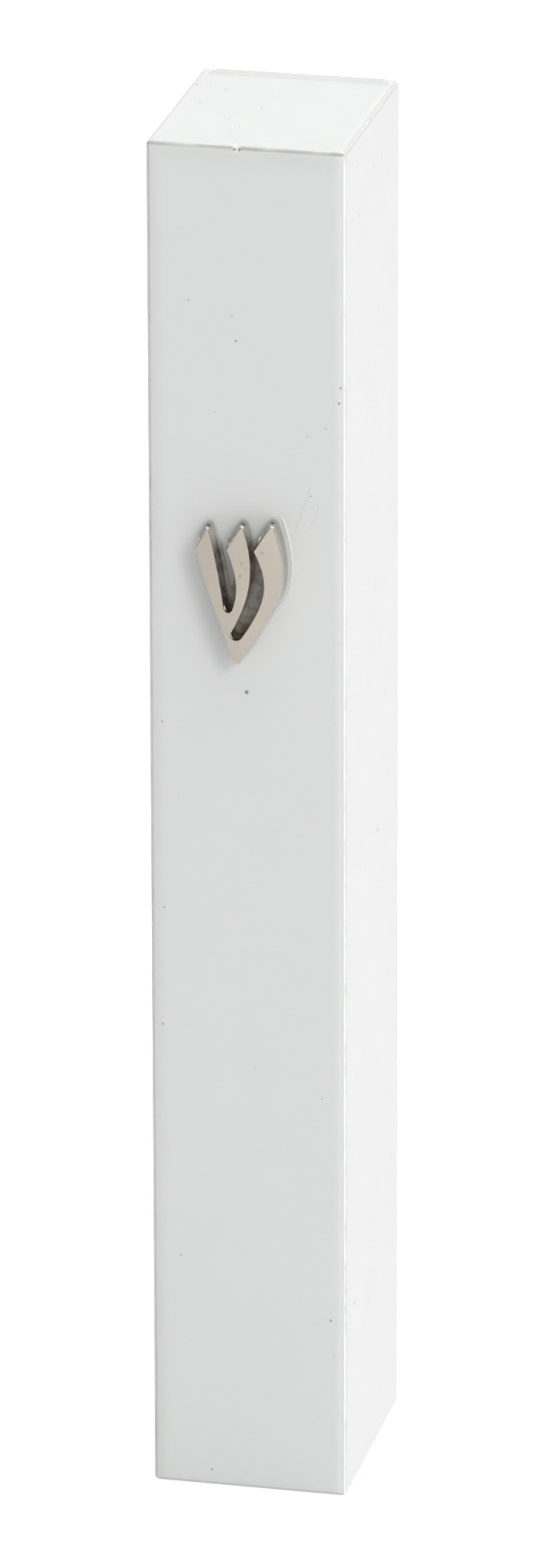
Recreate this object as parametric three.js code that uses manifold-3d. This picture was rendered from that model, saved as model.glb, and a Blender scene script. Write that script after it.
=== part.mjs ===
// A mezuzah case: a white moulded box with a sliding back cover, a raised letter on its front,
// and the rolled parchment inside. Millimetres, +Z up, front towards -Y.
// The origin is the middle of the base, so the case stands on z = 0.
import * as THREE from "three";
import { mergeVertices } from "three/addons/utils/BufferGeometryUtils.js";
import Module from "manifold-3d";

const wasm = await Module();
wasm.setup();

// Driving dimensions of the case.
const caseWidth = 17.5;
const caseDepth = 22;
const caseHeight = 125;
const frontWall = 2;
const sideWall = 1.8;
const endWall = 2.5;
const edgeChamfer = 0.25;

// The back cover slides in a dovetail channel, open at the top and stopped at the bottom.
const coverThickness = 1.6;
const coverBackWidth = 15;
const coverFrontWidth = 15.8;
const slideClearance = 0.08;
const coverStopGap = 0.2;

// Thumb grip, a shallow hollow with ribs across it, in the back of the cover.
const gripWidth = 9;
const gripHeight = 13;
const gripDepth = 0.7;
const gripTopMargin = 5;
const gripRibs = 4;
const gripRibHeight = 0.8;
const gripRibProud = 0.45;

// Raised letter and the glue under it.
const letterThickness = 2;
const letterFootHeight = 78.8;
const letterFootX = -0.38;
const armEndFlare = 0.3;
const glueThickness = 0.14;
const glueGap = 0.03;

// Foam tape on the back of the cover, and its liners.
const tapeWidth = 11;
const tapeLength = 32;
const tapeThickness = 1;
const tapeCorner = 1;
const tapeHeights = { lower_tape: 27, upper_tape: 84 };
const linerThickness = 0.12;
const linerMargin = 0.4;
const linerTab = 4;

// Parchment in one plain roll, and the film round it.
const scrollLength = 100;
const scrollInnerRadius = 1.9;
const scrollOuterRadius = 4.7;
const parchmentThickness = 0.4;
const scrollTurns = 4.6;
const sleeveLength = 105;
const sleeveInnerRadius = 5;
const filmThickness = 0.12;
const sleeveTurns = 1.3;
const sleevePitch = 0.3;
const cavityGap = 0.3;

const caseBack = caseDepth / 2;
const caseFront = -caseDepth / 2;
const coverFront = caseBack - coverThickness;
const cavityFront = caseFront + frontWall;
const scrollY = cavityFront + cavityGap + sleeveInnerRadius + 2 * sleevePitch;

// ---- solids ----

function toManifold(geometry) {
  const bare = geometry.index ? geometry.toNonIndexed() : geometry.clone();
  bare.deleteAttribute("normal");
  bare.deleteAttribute("uv");
  const merged = mergeVertices(bare, 1e-4);
  return new wasm.Manifold(new wasm.Mesh({
    numProp: 3,
    vertProperties: new Float32Array(merged.attributes.position.array),
    triVerts: new Uint32Array(merged.index.array),
  }));
}

function toGeometry(solid) {
  const mesh = solid.getMesh();
  const geometry = new THREE.BufferGeometry();
  geometry.setAttribute("position", new THREE.BufferAttribute(mesh.vertProperties, 3));
  geometry.setIndex(new THREE.BufferAttribute(mesh.triVerts, 1));
  geometry.computeVertexNormals();
  return geometry;
}

// A box from its lowest to its highest corner.
function boxBetween(low, high) {
  const size = high.map((value, i) => value - low[i]);
  const geometry = new THREE.BoxGeometry(...size);
  geometry.translate(...low.map((value, i) => value + size[i] / 2));
  return geometry;
}

// An outline drawn in X (right) and Z (up), given a thickness towards -Y from the plane y.
function raisedFrom(shape, thickness, y, options = {}) {
  const geometry = new THREE.ExtrudeGeometry(shape, {
    depth: thickness, bevelEnabled: false, curveSegments: 10, ...options,
  });
  geometry.rotateX(Math.PI / 2);
  geometry.translate(0, y, 0);
  return geometry;
}

function roundedRectangle(x0, z0, x1, z1, radius) {
  const shape = new THREE.Shape();
  shape.moveTo(x0 + radius, z0);
  shape.lineTo(x1 - radius, z0);
  shape.absarc(x1 - radius, z0 + radius, radius, -Math.PI / 2, 0);
  shape.lineTo(x1, z1 - radius);
  shape.absarc(x1 - radius, z1 - radius, radius, 0, Math.PI / 2);
  shape.lineTo(x0 + radius, z1);
  shape.absarc(x0 + radius, z1 - radius, radius, Math.PI / 2, Math.PI);
  shape.lineTo(x0, z0 + radius);
  shape.absarc(x0 + radius, z0 + radius, radius, Math.PI, Math.PI * 1.5);
  return shape;
}

// ---- case and cover ----

// The case as a solid block with every outer edge chamfered.
function caseBlock() {
  const x = caseWidth / 2;
  const y = caseDepth / 2;
  const c = edgeChamfer;
  const plan = new THREE.Shape();
  plan.moveTo(-x + c, -y);
  plan.lineTo(x - c, -y);
  plan.lineTo(x, -y + c);
  plan.lineTo(x, y - c);
  plan.lineTo(x - c, y);
  plan.lineTo(-x + c, y);
  plan.lineTo(-x, y - c);
  plan.lineTo(-x, -y + c);
  const geometry = new THREE.ExtrudeGeometry(plan, {
    depth: caseHeight - 2 * c, bevelThickness: c, bevelSize: c, bevelOffset: -c, bevelSegments: 1,
  });
  geometry.translate(0, 0, c);
  return geometry;
}

// The cover's dovetail section, grown all round by a clearance, from z0 to z1.
function dovetail(clearance, z0, z1, back) {
  const front = coverFront - clearance;
  const slope = (coverFrontWidth - coverBackWidth) / 2 / coverThickness;
  const halfFront = coverFrontWidth / 2 + clearance * (1 + slope);
  const halfBack = halfFront - (back - front) * slope;
  const section = new THREE.Shape();
  section.moveTo(-halfFront, front);
  section.lineTo(halfFront, front);
  section.lineTo(halfBack, back);
  section.lineTo(-halfBack, back);
  const geometry = new THREE.ExtrudeGeometry(section, { depth: z1 - z0, bevelEnabled: false });
  geometry.translate(0, 0, z0);
  return geometry;
}

function caseShell() {
  const beyond = 1;
  const cavity = boxBetween(
    [-caseWidth / 2 + sideWall, cavityFront, endWall],
    [caseWidth / 2 - sideWall, coverFront, caseHeight - endWall],
  );
  const channel = dovetail(slideClearance, endWall, caseHeight + beyond, caseBack + beyond);
  return toGeometry(toManifold(caseBlock()).subtract(toManifold(cavity)).subtract(toManifold(channel)));
}

function backCover() {
  const top = caseHeight - gripTopMargin;
  const hollow = raisedFrom(
    roundedRectangle(-gripWidth / 2, top - gripHeight, gripWidth / 2, top, gripWidth / 2 - 0.1),
    gripDepth + 1, caseBack + 1,
  );
  let cover = toManifold(dovetail(0, endWall + coverStopGap, caseHeight, caseBack)).subtract(toManifold(hollow));
  const pitch = gripHeight / (gripRibs + 1);
  for (let i = 1; i <= gripRibs; i += 1) {
    const z = top - i * pitch;
    const halfWidth = gripWidth / 2 - (i === 1 || i === gripRibs ? 1.6 : 0.6);
    const rib = boxBetween(
      [-halfWidth, caseBack - gripDepth - 0.2, z - gripRibHeight / 2],
      [halfWidth, caseBack - gripDepth + gripRibProud, z + gripRibHeight / 2],
    );
    cover = cover.add(toManifold(rib));
  }
  return toGeometry(cover);
}

// ---- letter ----

// Each arm ends in a slanted cut, from its lower left corner to its tip: X right, Z up from the foot.
const armEnds = {
  right: { corner: [1.48, 10.45], tip: [2.9, 12.7] },
  middle: { corner: [-0.91, 10.45], tip: [0.3, 12.5] },
  left: { corner: [-3.65, 10.4], tip: [-2.72, 12.2] },
};

// The two ends of a slanted cut, moved out square to it by a distance.
function movedEnd({ corner, tip }, distance) {
  const angle = Math.atan2(tip[1] - corner[1], tip[0] - corner[0]);
  const move = ([x, z]) => [x - distance * Math.sin(angle), z + distance * Math.cos(angle)];
  return { corner: move(corner), tip: move(tip), angle };
}

// The letter's outline, with its arms made longer by a flare.
function letterOutline(flare) {
  const right = movedEnd(armEnds.right, flare);
  const middle = movedEnd(armEnds.middle, flare);
  const left = movedEnd(armEnds.left, flare);
  const outline = new THREE.Shape();
  outline.moveTo(-0.2, 0.12);
  outline.quadraticCurveTo(0.03, -0.12, 0.25, 0.17);
  outline.lineTo(3.5, 5.8);
  outline.bezierCurveTo(4.3, 7.2, 4.2, 9.6, 3.32, 12.3);
  outline.quadraticCurveTo(3.15, 12.75, ...right.tip);
  outline.lineTo(...right.corner);
  outline.bezierCurveTo(2.95, 7.6, 2.65, 5.9, 0.4, 2.5);
  outline.bezierCurveTo(0.05, 1.95, -0.9, 2.2, -0.58, 2.8);
  outline.bezierCurveTo(1.2, 6, 1.7, 8.8, 0.58, 12.2);
  outline.quadraticCurveTo(0.48, 12.5, ...middle.tip);
  outline.lineTo(...middle.corner);
  outline.bezierCurveTo(0.15, 7.7, 0, 6.4, -0.42, 5.05);
  outline.bezierCurveTo(-0.6, 4.55, -1.1, 4.55, -1.2, 5.1);
  outline.bezierCurveTo(-1.5, 7.4, -2, 10, -2.48, 11.9);
  outline.quadraticCurveTo(-2.56, 12.2, ...left.tip);
  outline.lineTo(...left.corner);
  outline.quadraticCurveTo(-2.3, 5.1, -0.2, 0.12);
  return outline;
}

// A block that takes an arm's end off at a lean, so that it flares towards the case.
function armEndCutter(end) {
  const { corner, tip, angle } = movedEnd(end, 0);
  const length = Math.hypot(tip[0] - corner[0], tip[1] - corner[1]) + armEndFlare;
  const blockHeight = 1.1 * armEndFlare;
  const geometry = new THREE.BoxGeometry(length, 4 * letterThickness, blockHeight);
  geometry.translate(length / 2, 0, blockHeight / 2);
  geometry.rotateX(Math.atan2(armEndFlare, letterThickness));
  geometry.rotateY(-angle);
  geometry.translate(corner[0], -letterThickness, corner[1]);
  return geometry;
}

function shinLetter() {
  let solid = toManifold(raisedFrom(letterOutline(armEndFlare), letterThickness, 0));
  for (const end of Object.values(armEnds)) {
    solid = solid.subtract(toManifold(armEndCutter(end)));
  }
  return toGeometry(solid);
}

// The glue is squeezed out a little all round the letter, and bridges the narrow slot.
function letterGlue() {
  const outline = new THREE.Shape();
  outline.moveTo(-0.45, 0.1);
  outline.quadraticCurveTo(0.03, -0.55, 0.5, 0.05);
  outline.lineTo(3.78, 5.75);
  outline.bezierCurveTo(4.6, 7.1, 4.5, 9.8, 3.6, 12.4);
  outline.quadraticCurveTo(3.35, 13.15, 2.55, 13.1);
  outline.lineTo(1.1, 11.1);
  outline.lineTo(0.85, 12.3);
  outline.quadraticCurveTo(0.7, 13, -0.05, 12.9);
  outline.lineTo(-1.35, 10.7);
  outline.bezierCurveTo(-0.6, 9, -0.6, 7.5, -0.85, 6.5);
  outline.quadraticCurveTo(-1, 6.1, -1.15, 6.6);
  outline.bezierCurveTo(-1.4, 8.5, -1.9, 10.5, -2.2, 12);
  outline.quadraticCurveTo(-2.4, 12.8, -3.2, 12.6);
  outline.lineTo(-4.25, 10.6);
  outline.quadraticCurveTo(-2.6, 5, -0.45, 0.1);
  return raisedFrom(outline, glueThickness, 0);
}

// ---- tape ----

function tapePad() {
  return raisedFrom(
    roundedRectangle(-tapeWidth / 2, -tapeLength / 2, tapeWidth / 2, tapeLength / 2, tapeCorner),
    tapeThickness, tapeThickness,
  );
}

// The liner is a little larger than the pad, with a tab at its top to peel it by.
function tapeLiner() {
  const halfWidth = tapeWidth / 2 + linerMargin;
  const halfLength = tapeLength / 2 + linerMargin;
  return raisedFrom(
    roundedRectangle(-halfWidth, -halfLength, halfWidth, halfLength + linerTab, tapeCorner),
    linerThickness, linerThickness,
  );
}

// ---- scroll ----

// A sheet rolled up about Z: a spiral band from its inner to its outer end.
function rolledSheet(innerRadius, pitch, thickness, turns, length, startAngle) {
  const steps = Math.round(turns * 20);
  const point = (i, offset) => {
    const turn = (i / steps) * turns;
    const radius = innerRadius + pitch * turn + offset;
    const angle = startAngle + turn * 2 * Math.PI;
    return new THREE.Vector2(radius * Math.cos(angle), radius * Math.sin(angle));
  };
  const band = [];
  for (let i = 0; i <= steps; i += 1) {
    band.push(point(i, thickness));
  }
  for (let i = steps; i >= 0; i -= 1) {
    band.push(point(i, 0));
  }
  return new THREE.ExtrudeGeometry(new THREE.Shape(band), { depth: length, bevelEnabled: false });
}

// ---- materials ----

function finish(color, roughness, metalness = 0, opacity = 1) {
  return new THREE.MeshStandardMaterial({
    color, roughness, metalness, opacity, transparent: opacity < 1,
  });
}

const whiteGloss = finish(0xe9ebe9, 0.35);
const whiteMatte = finish(0xdfe2e0, 0.55);
const satinNickel = finish(0xc6bbae, 0.3, 1);
const clearGlue = finish(0xf2f2ee, 0.1, 0, 0.5);
const foamTape = finish(0xf4f4f0, 0.9);
const linerPaper = finish(0xd9c98f, 0.6);
const parchment = finish(0xe6d8b8, 0.8);
const clearFilm = finish(0xf5f7f8, 0.1, 0, 0.35);

// ---- assembly ----

const group = new THREE.Group();

function place(parent, name, geometry, material, x = 0, y = 0, z = 0) {
  const mesh = new THREE.Mesh(geometry, material);
  mesh.name = name;
  mesh.position.set(x, y, z);
  parent.add(mesh);
}

place(group, "case_shell", caseShell(), whiteGloss);

const letter = new THREE.Group();
letter.position.set(letterFootX, caseFront, letterFootHeight);
group.add(letter);
place(letter, "letter_adhesive", letterGlue(), clearGlue, 0, -glueGap);
place(letter, "shin_letter", shinLetter(), satinNickel, 0, -glueThickness - 2 * glueGap);

const scroll = new THREE.Group();
scroll.position.set(0, scrollY, endWall + cavityGap);
group.add(scroll);
const scrollPitch = (scrollOuterRadius - scrollInnerRadius - parchmentThickness) / scrollTurns;
place(scroll, "parchment_scroll", rolledSheet(
  scrollInnerRadius, scrollPitch, parchmentThickness, scrollTurns, scrollLength, 0.4,
), parchment, 0, 0, 1);
place(scroll, "scroll_sleeve", rolledSheet(
  sleeveInnerRadius, sleevePitch, filmThickness, sleeveTurns, sleeveLength, 2.2,
), clearFilm);

const cover = new THREE.Group();
group.add(cover);
place(cover, "back_cover", backCover(), whiteMatte);
for (const [name, height] of Object.entries(tapeHeights)) {
  place(cover, `${name}_pad`, tapePad(), foamTape, 0, caseBack + glueGap, height);
  const linerY = caseBack + tapeThickness + 2 * glueGap;
  place(cover, `${name}_liner`, tapeLiner(), linerPaper, 0, linerY, height);
}

export default group;
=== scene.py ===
import bpy
import bmesh
import math
from mathutils import Matrix, Vector, geometry, noise


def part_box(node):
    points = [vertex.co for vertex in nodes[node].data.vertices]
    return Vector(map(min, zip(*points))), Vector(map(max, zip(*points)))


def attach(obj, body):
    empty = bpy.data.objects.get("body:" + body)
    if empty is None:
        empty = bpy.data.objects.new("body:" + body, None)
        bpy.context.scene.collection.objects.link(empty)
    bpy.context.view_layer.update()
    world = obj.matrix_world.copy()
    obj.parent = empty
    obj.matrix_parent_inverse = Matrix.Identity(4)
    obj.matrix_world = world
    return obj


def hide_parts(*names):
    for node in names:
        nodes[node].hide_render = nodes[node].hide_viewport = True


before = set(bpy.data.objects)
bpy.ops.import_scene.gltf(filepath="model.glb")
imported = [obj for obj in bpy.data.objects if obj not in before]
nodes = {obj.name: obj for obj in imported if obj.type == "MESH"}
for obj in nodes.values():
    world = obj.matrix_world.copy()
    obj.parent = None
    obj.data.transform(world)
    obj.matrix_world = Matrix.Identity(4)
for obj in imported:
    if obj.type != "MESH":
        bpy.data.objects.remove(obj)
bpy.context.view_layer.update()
mm = 0.001  # the dictionaries are in millimetres, the meshes in metres

caseLow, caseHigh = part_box("case_shell")
caseMiddle = (caseLow + caseHigh) / 2
caseHalf = (caseHigh - caseLow) / 2
letterLow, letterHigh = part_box("shin_letter")
print("frame loaded", len(nodes), "nodes")


# camera and studio

cameraLook = {
    "azimuth": 12.69,  # degrees to the right of straight on
    "elevation": 20.49,
    "roll": 0.15,
    "distance": 993,
    "lens": 258.8,
    "aim": (-0.11, 0.14, 62.93),
}


def makeCamera():
    turn, rise = math.radians(cameraLook["azimuth"]), math.radians(cameraLook["elevation"])
    back = Vector((math.sin(turn) * math.cos(rise), -math.cos(turn) * math.cos(rise), math.sin(rise)))
    data = bpy.data.cameras.new("camera")
    data.lens = cameraLook["lens"]
    data.sensor_width = 36
    data.clip_start, data.clip_end = 0.05, 20
    camera = bpy.data.objects.new("camera", data)
    camera.location = Vector(cameraLook["aim"]) * mm + back * cameraLook["distance"] * mm
    aim = (-back).to_track_quat("-Z", "Y").to_matrix()
    roll = Matrix.Rotation(math.radians(cameraLook["roll"]), 3, -back)
    camera.rotation_euler = (roll @ aim).to_euler()
    bpy.context.scene.collection.objects.link(camera)
    bpy.context.scene.camera = camera


studio = {
    "ambientRight": 0.98,  # world strength towards +X
    "ambientLeft": 0.203,
    "keyPower": 3.0,
    "keySize": (300, 400),
    "keyPlace": (560, -640, 560),
    "topPower": 7.7,
    "topSize": (900, 900),
    "topPlace": (150, 60, 1100),
    "floorSize": 14000,
    "floorColour": (0.62, 0.62, 0.62, 1),
    "floorGlow": 0.15,
    "floorLift": 0.5,  # only seen, it lights nothing
}


def areaLight(name, place, size, power):
    data = bpy.data.lights.new(name, "AREA")
    data.shape = "RECTANGLE"
    data.size, data.size_y = size[0] * mm, size[1] * mm
    data.energy = power
    light = bpy.data.objects.new(name, data)
    light.location = Vector(place) * mm
    light.rotation_euler = (caseMiddle - light.location).to_track_quat("-Z", "Y").to_euler()
    light.visible_camera = False
    bpy.context.scene.collection.objects.link(light)


def makeWorld():
    world = bpy.data.worlds.new("studio")
    bpy.context.scene.world = world
    world.use_nodes = True
    tree = world.node_tree
    background = tree.nodes["Background"]
    background.inputs["Color"].default_value = (1, 1, 1, 1)
    direction = tree.nodes.new("ShaderNodeTexCoord")
    split = tree.nodes.new("ShaderNodeSeparateXYZ")
    strength = tree.nodes.new("ShaderNodeMapRange")
    tree.links.new(direction.outputs["Generated"], split.inputs[0])
    tree.links.new(split.outputs["X"], strength.inputs["Value"])
    strength.inputs["From Min"].default_value = -1
    strength.inputs["To Min"].default_value = studio["ambientLeft"]
    strength.inputs["To Max"].default_value = studio["ambientRight"]
    seen = tree.nodes.new("ShaderNodeMath")
    seen.operation = "MAXIMUM"  # the room itself always looks white
    tree.links.new(strength.outputs["Result"], seen.inputs[0])
    tree.links.new(tree.nodes.new("ShaderNodeLightPath").outputs["Is Camera Ray"], seen.inputs[1])
    tree.links.new(seen.outputs[0], background.inputs["Strength"])


def makeFloor():
    mesh = bmesh.new()
    bmesh.ops.create_grid(mesh, x_segments=1, y_segments=1, size=studio["floorSize"] * mm / 2)
    bmesh.ops.translate(mesh, verts=mesh.verts, vec=(0, 0, caseLow.z))
    data = bpy.data.meshes.new("floor")
    mesh.to_mesh(data)
    mesh.free()
    floor = bpy.data.objects.new("floor", data)
    bpy.context.scene.collection.objects.link(floor)
    paper = bpy.data.materials.new("floorPaper")
    paper.use_nodes = True
    shader = paper.node_tree.nodes["Principled BSDF"]
    shader.inputs["Base Color"].default_value = studio["floorColour"]
    shader.inputs["Roughness"].default_value = 0.9
    shader.inputs["Emission Color"].default_value = (1, 1, 1, 1)
    sight = paper.node_tree.nodes.new("ShaderNodeLightPath").outputs["Is Camera Ray"]
    glow = paper.node_tree.nodes.new("ShaderNodeMapRange")
    glow.inputs["To Min"].default_value = studio["floorGlow"]
    glow.inputs["To Max"].default_value = studio["floorGlow"] + studio["floorLift"]
    paper.node_tree.links.new(sight, glow.inputs["Value"])
    paper.node_tree.links.new(glow.outputs["Result"], shader.inputs["Emission Strength"])
    floor.data.materials.append(paper)


makeCamera()
makeWorld()
areaLight("key", studio["keyPlace"], studio["keySize"], studio["keyPower"])
areaLight("top", studio["topPlace"], studio["topSize"], studio["topPower"])
makeFloor()
bpy.context.scene.view_settings.view_transform = "Standard"
print("camera and studio ready")


# shared shader groups

def newGroup(name, inputs, outputs):
    tree = bpy.data.node_groups.new(name, "ShaderNodeTree")
    for label, kind, value in inputs:
        socket = tree.interface.new_socket(name=label, in_out="INPUT", socket_type=kind)
        if value is not None:
            socket.default_value = value
    for label, kind in outputs:
        tree.interface.new_socket(name=label, in_out="OUTPUT", socket_type=kind)
    return tree, tree.nodes.new("NodeGroupInput"), tree.nodes.new("NodeGroupOutput")


def math2(tree, operation, a, b=None, clamp=False):
    node = tree.nodes.new("ShaderNodeMath")
    node.operation = operation
    node.use_clamp = clamp
    for socket, value in zip(node.inputs, (a, b)):
        if isinstance(value, bpy.types.NodeSocket):
            tree.links.new(value, socket)
        elif value is not None:
            socket.default_value = value
    return node.outputs[0]


def ramp(tree, value, fromMin, fromMax, toMin=0.0, toMax=1.0):
    node = tree.nodes.new("ShaderNodeMapRange")
    node.interpolation_type = "SMOOTHSTEP"
    tree.links.new(value, node.inputs["Value"])
    for label, number in zip(("From Min", "From Max", "To Min", "To Max"), (fromMin, fromMax, toMin, toMax)):
        if isinstance(number, bpy.types.NodeSocket):
            tree.links.new(number, node.inputs[label])
        else:
            node.inputs[label].default_value = number
    return node.outputs["Result"]


def noiseNode(tree, vector, scale, detail=3.0, roughness=0.5):
    node = tree.nodes.new("ShaderNodeTexNoise")
    tree.links.new(vector, node.inputs["Vector"])
    if isinstance(scale, bpy.types.NodeSocket):
        tree.links.new(scale, node.inputs["Scale"])
    else:
        node.inputs["Scale"].default_value = scale
    node.inputs["Detail"].default_value = detail
    node.inputs["Roughness"].default_value = roughness
    return node.outputs["Fac"]


def speckGroup():  # a small round mask at a place, with a ragged rim, used for dark flecks and also for painted glints and painted dark reflections
    tree, start, end = newGroup(
        "speck",
        [("Vector", "NodeSocketVector", None), ("Place", "NodeSocketVector", None),
         ("Radius", "NodeSocketFloat", 0.0002)],
        [("Mask", "NodeSocketFloat")],
    )
    wobble = noiseNode(tree, start.outputs["Vector"], 6000, 1)
    away = tree.nodes.new("ShaderNodeVectorMath")
    away.operation = "DISTANCE"
    tree.links.new(start.outputs["Vector"], away.inputs[0])
    tree.links.new(start.outputs["Place"], away.inputs[1])
    rim = math2(tree, "MULTIPLY", start.outputs["Radius"], math2(tree, "ADD", wobble, 0.55))
    inner = math2(tree, "MULTIPLY", rim, 0.45)
    tree.links.new(ramp(tree, away.outputs["Value"], inner, rim, 1.0, 0.0), end.inputs["Mask"])
    return tree


def dustGroup():  # fine random specks, one in a few cells
    tree, start, end = newGroup(
        "dust",
        [("Vector", "NodeSocketVector", None), ("Scale", "NodeSocketFloat", 300.0),
         ("Size", "NodeSocketFloat", 0.1), ("Amount", "NodeSocketFloat", 0.1)],
        [("Mask", "NodeSocketFloat")],
    )
    cells = tree.nodes.new("ShaderNodeTexVoronoi")
    tree.links.new(start.outputs["Vector"], cells.inputs["Vector"])
    tree.links.new(start.outputs["Scale"], cells.inputs["Scale"])
    split = tree.nodes.new("ShaderNodeSeparateColor")
    tree.links.new(cells.outputs["Color"], split.inputs[0])
    chosen = math2(tree, "LESS_THAN", split.outputs[0], start.outputs["Amount"])
    size = math2(tree, "MULTIPLY", start.outputs["Size"], math2(tree, "ADD", split.outputs[1], 0.3))
    spot = ramp(tree, cells.outputs["Distance"], math2(tree, "MULTIPLY", size, 0.5), size, 1.0, 0.0)
    tree.links.new(math2(tree, "MULTIPLY", spot, chosen), end.inputs["Mask"])
    return tree


def edgeGroup():  # how far a point on a box lies from the box's nearest edge
    tree, start, end = newGroup(
        "boxEdge",
        [("Vector", "NodeSocketVector", None), ("Middle", "NodeSocketVector", None),
         ("Half", "NodeSocketVector", None)],
        [("Distance", "NodeSocketFloat")],
    )
    offset = tree.nodes.new("ShaderNodeVectorMath")
    offset.operation = "SUBTRACT"
    tree.links.new(start.outputs["Vector"], offset.inputs[0])
    tree.links.new(start.outputs["Middle"], offset.inputs[1])
    size = tree.nodes.new("ShaderNodeVectorMath")
    size.operation = "ABSOLUTE"
    tree.links.new(offset.outputs[0], size.inputs[0])
    inside = tree.nodes.new("ShaderNodeVectorMath")
    inside.operation = "SUBTRACT"
    tree.links.new(start.outputs["Half"], inside.inputs[0])
    tree.links.new(size.outputs[0], inside.inputs[1])
    split = tree.nodes.new("ShaderNodeSeparateXYZ")
    tree.links.new(inside.outputs[0], split.inputs[0])
    x, y, z = split.outputs
    low, high = math2(tree, "MINIMUM", x, y), math2(tree, "MAXIMUM", x, y)
    middle = math2(tree, "MAXIMUM", low, math2(tree, "MINIMUM", high, z))
    tree.links.new(middle, end.inputs["Distance"])
    return tree


def grainGroup():  # a height field of two sizes of noise
    tree, start, end = newGroup(
        "grain",
        [("Vector", "NodeSocketVector", None), ("Coarse", "NodeSocketFloat", 200.0),
         ("Fine", "NodeSocketFloat", 2000.0), ("Share", "NodeSocketFloat", 0.5)],
        [("Height", "NodeSocketFloat")],
    )
    coarse = noiseNode(tree, start.outputs["Vector"], start.outputs["Coarse"], 2)
    fine = noiseNode(tree, start.outputs["Vector"], start.outputs["Fine"], 4, 0.6)
    mix = tree.nodes.new("ShaderNodeMix")
    tree.links.new(start.outputs["Share"], mix.inputs["Factor"])
    tree.links.new(coarse, mix.inputs["A"])
    tree.links.new(fine, mix.inputs["B"])
    tree.links.new(mix.outputs["Result"], end.inputs["Height"])
    return tree


def hairlineGroup():  # a thin straight mark between two places
    tree, start, end = newGroup(
        "hairline",
        [("Vector", "NodeSocketVector", None), ("From", "NodeSocketVector", None),
         ("To", "NodeSocketVector", None), ("Width", "NodeSocketFloat", 0.0001)],
        [("Mask", "NodeSocketFloat")],
    )

    def vectorMath(operation, *values):
        node = tree.nodes.new("ShaderNodeVectorMath")
        node.operation = operation
        for socket, value in zip(node.inputs, values):
            tree.links.new(value, socket)
        return node

    reach = vectorMath("SUBTRACT", start.outputs["To"], start.outputs["From"]).outputs[0]
    offset = vectorMath("SUBTRACT", start.outputs["Vector"], start.outputs["From"]).outputs[0]
    along = vectorMath("DOT_PRODUCT", offset, reach).outputs["Value"]
    whole = vectorMath("DOT_PRODUCT", reach, reach).outputs["Value"]
    share = math2(tree, "DIVIDE", along, whole, clamp=True)
    foot = vectorMath("SCALE", reach)
    tree.links.new(share, foot.inputs["Scale"])
    away = vectorMath("DISTANCE", offset, foot.outputs[0]).outputs["Value"]
    inner = math2(tree, "MULTIPLY", start.outputs["Width"], 0.3)
    tree.links.new(ramp(tree, away, inner, start.outputs["Width"], 1.0, 0.0), end.inputs["Mask"])
    return tree


slotZone = {
    "halfWidth": (0.85, 1),  # full out to the first, gone by the second
    "below": (-0.8, -0.5),
    "topFade": 0.5,
}


def slotZoneGroup():  # the narrow slots between the letter's arms, as a wedge that opens upwards
    tree, start, end = newGroup(
        "slotZone",
        [("Vector", "NodeSocketVector", None), ("Foot", "NodeSocketVector", None),
         ("Spread", "NodeSocketFloat", 0.27), ("Height", "NodeSocketFloat", 0.009)],
        [("Mask", "NodeSocketFloat")],
    )
    offset = tree.nodes.new("ShaderNodeVectorMath")
    offset.operation = "SUBTRACT"
    tree.links.new(start.outputs["Vector"], offset.inputs[0])
    tree.links.new(start.outputs["Foot"], offset.inputs[1])
    split = tree.nodes.new("ShaderNodeSeparateXYZ")
    tree.links.new(offset.outputs[0], split.inputs[0])
    limit = math2(tree, "MULTIPLY", split.outputs["Z"], start.outputs["Spread"])
    past = math2(tree, "SUBTRACT", math2(tree, "ABSOLUTE", split.outputs["X"]), limit)
    full, gone = slotZone["halfWidth"]
    bottom, foot = slotZone["below"]
    fadeHalf = slotZone["topFade"] * mm
    inside = ramp(tree, past, full * mm, gone * mm, 1.0, 0.0)
    inside = math2(tree, "MULTIPLY", inside, ramp(tree, split.outputs["Z"], bottom * mm, foot * mm))
    over = math2(tree, "SUBTRACT", split.outputs["Z"], start.outputs["Height"])
    tree.links.new(math2(tree, "MULTIPLY", inside, ramp(tree, over, -fadeHalf, fadeHalf, 1.0, 0.0)),
                   end.inputs["Mask"])
    return tree


groups = {
    "slotZone": slotZoneGroup(),
    "speck": speckGroup(),
    "dust": dustGroup(),
    "boxEdge": edgeGroup(),
    "grain": grainGroup(),
    "hairline": hairlineGroup(),
}
print("shader groups ready")


def startMaterial(name):
    material = bpy.data.materials.new(name)
    material.use_nodes = True
    tree = material.node_tree
    place = tree.nodes.new("ShaderNodeTexCoord").outputs["Object"]
    return material, tree, tree.nodes["Principled BSDF"], place


def useGroup(tree, name, output, **inputs):
    node = tree.nodes.new("ShaderNodeGroup")
    node.node_tree = groups[name]
    for label, value in inputs.items():
        socket = node.inputs[label]
        if isinstance(value, bpy.types.NodeSocket):
            tree.links.new(value, socket)
        else:
            socket.default_value = value
    return node.outputs[output]


def mixColour(tree, factor, a, b):
    node = tree.nodes.new("ShaderNodeMix")
    node.data_type = "RGBA"
    tree.links.new(factor, node.inputs["Factor"])
    for socket, value in ((node.inputs[6], a), (node.inputs[7], b)):
        if isinstance(value, bpy.types.NodeSocket):
            tree.links.new(value, socket)
        else:
            socket.default_value = (*value, 1)
    return node.outputs[2]


def bumpFrom(tree, shader, height, strength, distance):
    node = tree.nodes.new("ShaderNodeBump")
    node.inputs["Strength"].default_value = strength
    node.inputs["Distance"].default_value = distance
    tree.links.new(height, node.inputs["Height"])
    tree.links.new(node.outputs["Normal"], shader.inputs["Normal"])


# white plastic of the case

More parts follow.
